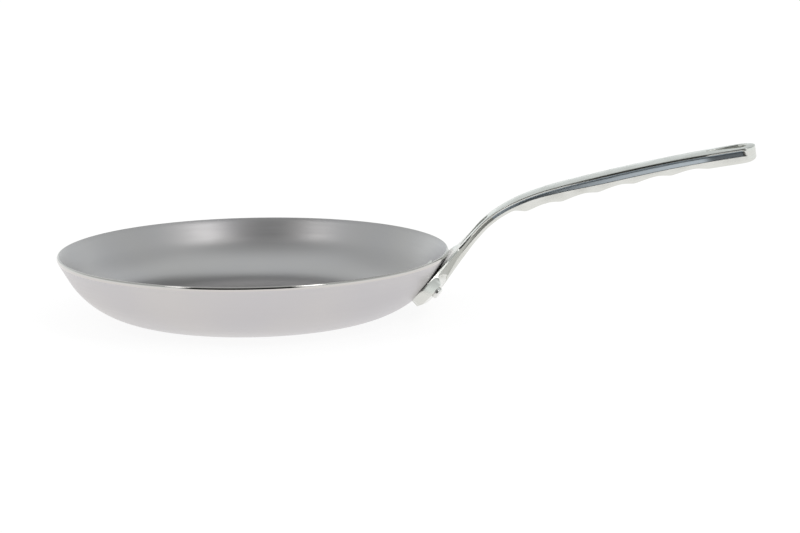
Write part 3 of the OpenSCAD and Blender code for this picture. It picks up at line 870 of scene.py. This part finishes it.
class MakeStage(bpy.types.Operator):
    """Makes the floor, the studio light and the camera."""
    bl_idname = "omelette_pan.make_stage"
    bl_label = "Stage"

    def execute(self, context):
        scene = context.scene
        self.floor(scene)
        self.world(scene)
        self.lamps(scene)
        self.camera(scene)
        scene.view_settings.view_transform = "Standard"
        return {"FINISHED"}

    def floor(self, scene):
        """A wide white floor that keeps a faint shadow. The camera and polished metal see it nearly white."""
        top, under, wide = -0.0004, -0.01, 14.0
        mesh = lathe("floor", [(0, under), (wide, under), (wide, top), (2.0, top), (0, top)], 96)
        clean(mesh)
        floor = add_object("floor", mesh)
        material = bpy.data.materials.new("white_paper")
        material.use_nodes = True
        tree = material.node_tree
        tree.nodes.clear()
        paper = add_node(tree, "ShaderNodeBsdfDiffuse", {"Color": linear(scene.pan_finishes.floor)})
        glow = add_node(tree, "ShaderNodeEmission", {"Color": (1, 1, 1, 1), "Strength": 1.07})
        rays = add_node(tree, "ShaderNodeLightPath").outputs
        seen = rays["Is Camera Ray"]
        for other in ("Is Glossy Ray", "Is Transmission Ray"):
            seen = add_node(tree, "ShaderNodeMath", {0: seen, 1: rays[other]}, operation="MAXIMUM").outputs[0]
        share = add_node(tree, "ShaderNodeMath", {0: seen, 1: 0.8}, operation="MULTIPLY")
        both = add_node(tree, "ShaderNodeMixShader", {
            0: share.outputs[0], 1: paper.outputs[0], 2: glow.outputs[0]})
        add_node(tree, "ShaderNodeOutputMaterial", {"Surface": both.outputs[0]})
        mesh.materials.append(material)

    def world(self, scene):
        """White to the camera and even to matt surfaces. Metal mirrors a grey room: a ceiling that darkens
        upwards, and across it a strip with a dark opening in front, a pale back and a dark hatch above it."""
        world = bpy.data.worlds.new("studio")
        scene.world = world
        world.use_nodes = True
        tree = world.node_tree
        tree.nodes.clear()
        way = add_node(tree, "ShaderNodeTexCoord").outputs["Generated"]
        x, y, z = add_node(tree, "ShaderNodeSeparateXYZ", {0: way}).outputs
        front = add_node(tree, "ShaderNodeMath", {0: y, 1: -1.0}, operation="MULTIPLY")
        # A direction's part to the side, its climb, and its angle from the front up over the pan to the back
        aside = add_node(tree, "ShaderNodeMath", {0: x}, operation="ABSOLUTE")
        climb = add_node(tree, "ShaderNodeMath", {0: z}, operation="ARCSINE")
        over = add_node(tree, "ShaderNodeMath", {0: z, 1: front.outputs[0]}, operation="ARCTAN2")
        # Each share grows from 0 to 1 between two values
        shares = []
        for value, start, end, kind in ((climb, 0, math.pi / 2, "LINEAR"), (over, 0, math.pi, "LINEAR"),
                                        (aside, 0.62, 0.44, "SMOOTHSTEP"), (aside, 0.32, 0.18, "SMOOTHSTEP"),
                                        (over, 2.1, 2.24, "SMOOTHSTEP"), (over, 2.66, 2.56, "SMOOTHSTEP")):
            step = add_node(tree, "ShaderNodeMapRange", {
                "Value": value.outputs[0], "From Min": start, "From Max": end},
                interpolation_type=kind, clamp=True)
            shares.append(step.outputs[0])
        height, sweep, inside, hatch, *ends = shares
        for end in ends:
            hatch = add_node(tree, "ShaderNodeMath", {0: hatch, 1: end}, operation="MULTIPLY").outputs[0]
        ceiling = add_node(tree, "ShaderNodeValToRGB", {0: height})
        strip = add_node(tree, "ShaderNodeValToRGB", {0: sweep})
        for ramp, stops in ((ceiling, ((0, 1.1), (0.13, 1.0), (0.26, 0.63), (0.54, 0.5), (0.8, 0.6),
                                       (1, 0.57))),
                            (strip, ((0, 0.01), (0.23, 0.01), (0.275, 0.25), (0.33, 0.24), (0.42, 0.5),
                                     (0.48, 0.68), (0.56, 0.72), (0.66, 0.66), (0.75, 0.75), (0.83, 0.85),
                                     (0.88, 0.75), (0.94, 0.72), (1, 1.15)))):
            for i, (at, level) in enumerate(stops):
                stop = ramp.color_ramp.elements[i] if i < 2 else ramp.color_ramp.elements.new(at)
                # The greys are a little cool
                stop.position, stop.color = at, (level * 0.97, level * 1.02, level * 1.02, 1)
        shut = add_node(tree, "ShaderNodeMix", {0: inside, 6: ceiling.outputs[0], 7: strip.outputs[0]},
                        data_type="RGBA")
        dim = add_node(tree, "ShaderNodeMix", {0: hatch, 6: shut.outputs[2], 7: (0, 0, 0, 1)},
                       data_type="RGBA")
        room = add_node(tree, "ShaderNodeBackground", {"Color": dim.outputs[2], "Strength": 1.0})
        plain = add_node(tree, "ShaderNodeBackground", {"Color": (1, 1, 1, 1), "Strength": 0.8})
        white = add_node(tree, "ShaderNodeBackground", {"Color": (1, 1, 1, 1), "Strength": 1.0})
        rays = add_node(tree, "ShaderNodeLightPath").outputs
        inner = add_node(tree, "ShaderNodeMixShader", {
            0: rays["Is Glossy Ray"], 1: plain.outputs[0], 2: room.outputs[0]})
        both = add_node(tree, "ShaderNodeMixShader", {
            0: rays["Is Camera Ray"], 1: inner.outputs[0], 2: white.outputs[0]})
        add_node(tree, "ShaderNodeOutputWorld", {"Surface": both.outputs[0]})

    def lamps(self, scene):
        """Two tall soft boxes beside the camera, the one on the handle's side larger and stronger."""
        target = Vector((0.05, 0, 0.03))
        for name, side, size, power in (("left", -1.1, (0.3, 0.55), 1.4), ("right", 1.1, (0.45, 0.8), 3.3)):
            lamp = bpy.data.lights.new(name, "AREA")
            lamp.shape, lamp.size, lamp.size_y, lamp.energy = "RECTANGLE", size[0], size[1], power
            holder = bpy.data.objects.new(name, lamp)
            scene.collection.objects.link(holder)
            holder.location = (side, -1.1, 1.55)
            aim = target - Vector((side, -1.1, 1.55))
            holder.rotation_euler = aim.to_track_quat("-Z", "Y").to_euler()

    def camera(self, scene):
        """The photograph's view: low, a little to the left of square to the handle, with a long lens."""
        tilt, roll, turn = math.radians(10.75), math.radians(0.58), math.radians(3.5)
        # Focal length and the rim's middle from the picture's middle, in pixels of a picture 800 wide
        focal, across, down, wide = 2200.0, -146.2, -17.2, 800
        distance, film = 1.5703, 36.0
        forward = Vector((0, math.cos(tilt), -math.sin(tilt)))
        right, up = Vector((1, 0, 0)), Vector((0, math.sin(tilt), math.cos(tilt)))
        spot = -forward * distance - right * (across * distance / focal) + up * (down * distance / focal)
        spot += Vector((0, 0, scene.pan_bowl.rim_height))
        level = right * math.cos(roll) - up * math.sin(roll)
        upright = right * math.sin(roll) + up * math.cos(roll)
        basis = Matrix((level, upright, -forward)).transposed().to_4x4()
        camera = bpy.data.cameras.new("camera")
        camera.sensor_fit, camera.sensor_width, camera.lens = "HORIZONTAL", film, focal / wide * film
        camera.clip_end = 50
        holder = bpy.data.objects.new("camera", camera)
        scene.collection.objects.link(holder)
        holder.matrix_world = Matrix.Rotation(turn, 4, "Z") @ Matrix.Translation(spot) @ basis
        scene.camera = holder


class PanPanel(bpy.types.Panel):
    """Lists the sizes, the finishes and the operators."""
    bl_idname = "VIEW3D_PT_omelette_pan"
    bl_label = "Omelette Pan"
    bl_space_type = "VIEW_3D"
    bl_region_type = "UI"
    bl_category = "Omelette Pan"

    def draw(self, context):
        scene = context.scene
        for maker, group in ((MakeBowl, scene.pan_bowl), (MakeHandle, scene.pan_handle),
                             (MakeRivets, scene.pan_rivets), (MakeStage, scene.pan_finishes)):
            box = self.layout.box()
            for key in type(group).__annotations__:
                box.prop(group, key)
            box.operator(maker.bl_idname)


GROUPS = {"pan_bowl": BowlSizes, "pan_handle": HandleSizes, "pan_rivets": RivetSizes,
          "pan_finishes": Finishes}
MAKERS = (MakeStage, MakeBowl, MakeHandle, MakeRivets)
CLASSES = (*GROUPS.values(), *MAKERS, PanPanel)


def register():
    """Adds the classes and their settings to Blender."""
    for kind in CLASSES:
        bpy.utils.register_class(kind)
    for key, group in GROUPS.items():
        setattr(bpy.types.Scene, key, PointerProperty(type=group))


def unregister():
    """Takes the classes and their settings out of Blender."""
    for key in GROUPS:
        delattr(bpy.types.Scene, key)
    for kind in reversed(CLASSES):
        bpy.utils.unregister_class(kind)


def main():
    """Makes the pan and its studio."""
    register()
    for kind in MAKERS:
        area, action = kind.bl_idname.split(".")
        getattr(getattr(bpy.ops, area), action)()
    bpy.context.view_layer.update()


if __name__ == "__main__":
    main()
